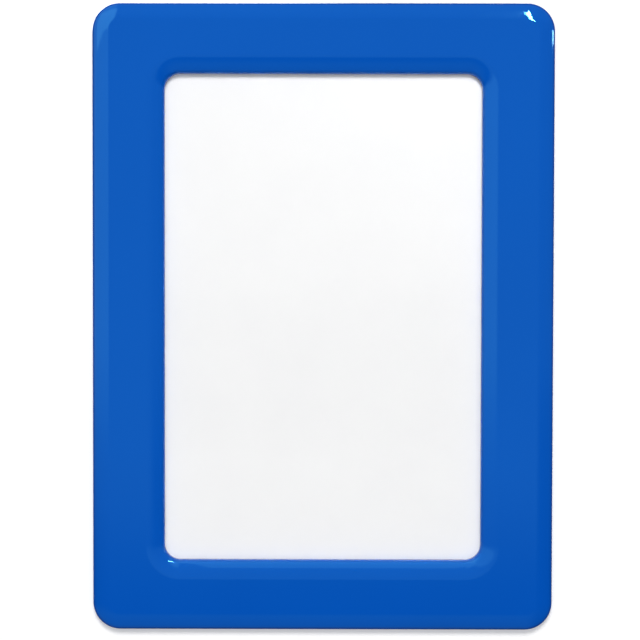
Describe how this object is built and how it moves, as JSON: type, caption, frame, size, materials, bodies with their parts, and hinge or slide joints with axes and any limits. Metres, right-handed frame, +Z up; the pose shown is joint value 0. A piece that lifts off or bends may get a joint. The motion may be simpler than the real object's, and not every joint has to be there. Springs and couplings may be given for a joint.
{
  "type": "magnetic photo frame",
  "caption": "Glossy blue magnetic photo frame for one upright print, with a rounded moulded bezel, a clear window, a pocket open at the top and flexible magnets behind.",
  "frame": {"origin": "on the magnetic back face, behind the middle of the window", "axes": "+Z up as the frame hangs, +X to the viewer's right, +Y out of the back into the steel; the print faces -Y"},
  "size_m": [0.1338, 0.0045, 0.182],
  "materials": {
    "blue_gloss_plastic": "glossy moulded polystyrene",
    "clear_film": "clear flexible film",
    "white_backing": "matt white plastic sheet",
    "blank_photo_paper": "smooth coated photo paper",
    "adhesive_tape": "translucent double-sided tape",
    "spacer_foam": "white tape on both sides of a thin foam",
    "magnet_rubber": "matt ferrite-filled flexible magnet"
  },
  "bodies": {
    "frame": {"front_bezel": "blue_gloss_plastic", "window_film": "clear_film", "film_tape_left": "adhesive_tape", "film_tape_right": "adhesive_tape", "film_tape_top": "adhesive_tape", "film_tape_bottom": "adhesive_tape", "back_sheet": "white_backing", "pocket_spacer_left": "spacer_foam", "pocket_spacer_right": "spacer_foam", "pocket_spacer_bottom": "spacer_foam", "magnet_left": "magnet_rubber", "magnet_right": "magnet_rubber", "magnet_bottom": "magnet_rubber", "magnet_tape_left": "adhesive_tape", "magnet_tape_right": "adhesive_tape", "magnet_tape_bottom": "adhesive_tape"},
    "print": {"photo_card": "blank_photo_paper"}
  },
  "joints": [
    {"name": "print_slide", "type": "slide", "parent": "frame", "child": "print", "axis": [0, 0, 1], "range_m": [0, 0.16]}
  ]
}
